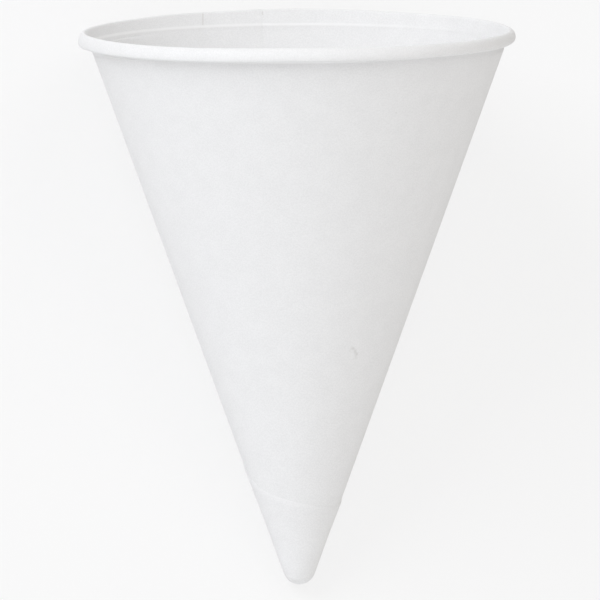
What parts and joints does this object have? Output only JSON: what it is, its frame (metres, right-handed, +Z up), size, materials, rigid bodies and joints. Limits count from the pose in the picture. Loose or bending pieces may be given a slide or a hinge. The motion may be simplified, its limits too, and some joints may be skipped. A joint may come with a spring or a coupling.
{
  "type": "cone paper cup",
  "caption": "White paper cone cup, wound and lapped from one sheet, with a rolled rim round its mouth and a rounded closed tip; lies on its side to hold until filled.",
  "frame": {"origin": "bottom centre of the box round the cup as it lies on its side", "axes": "+Z up; +Y level, towards the mouth; +X across; the cup's own axis rises 21 degrees from +Y, and its lap is underneath"},
  "size_m": [0.073, 0.0998, 0.0683],
  "materials": {
    "cup_paper": "matt uncoated white cup paper"
  },
  "bodies": {
    "root": {"cone_cup": "cup_paper"}
  },
  "joints": []
}
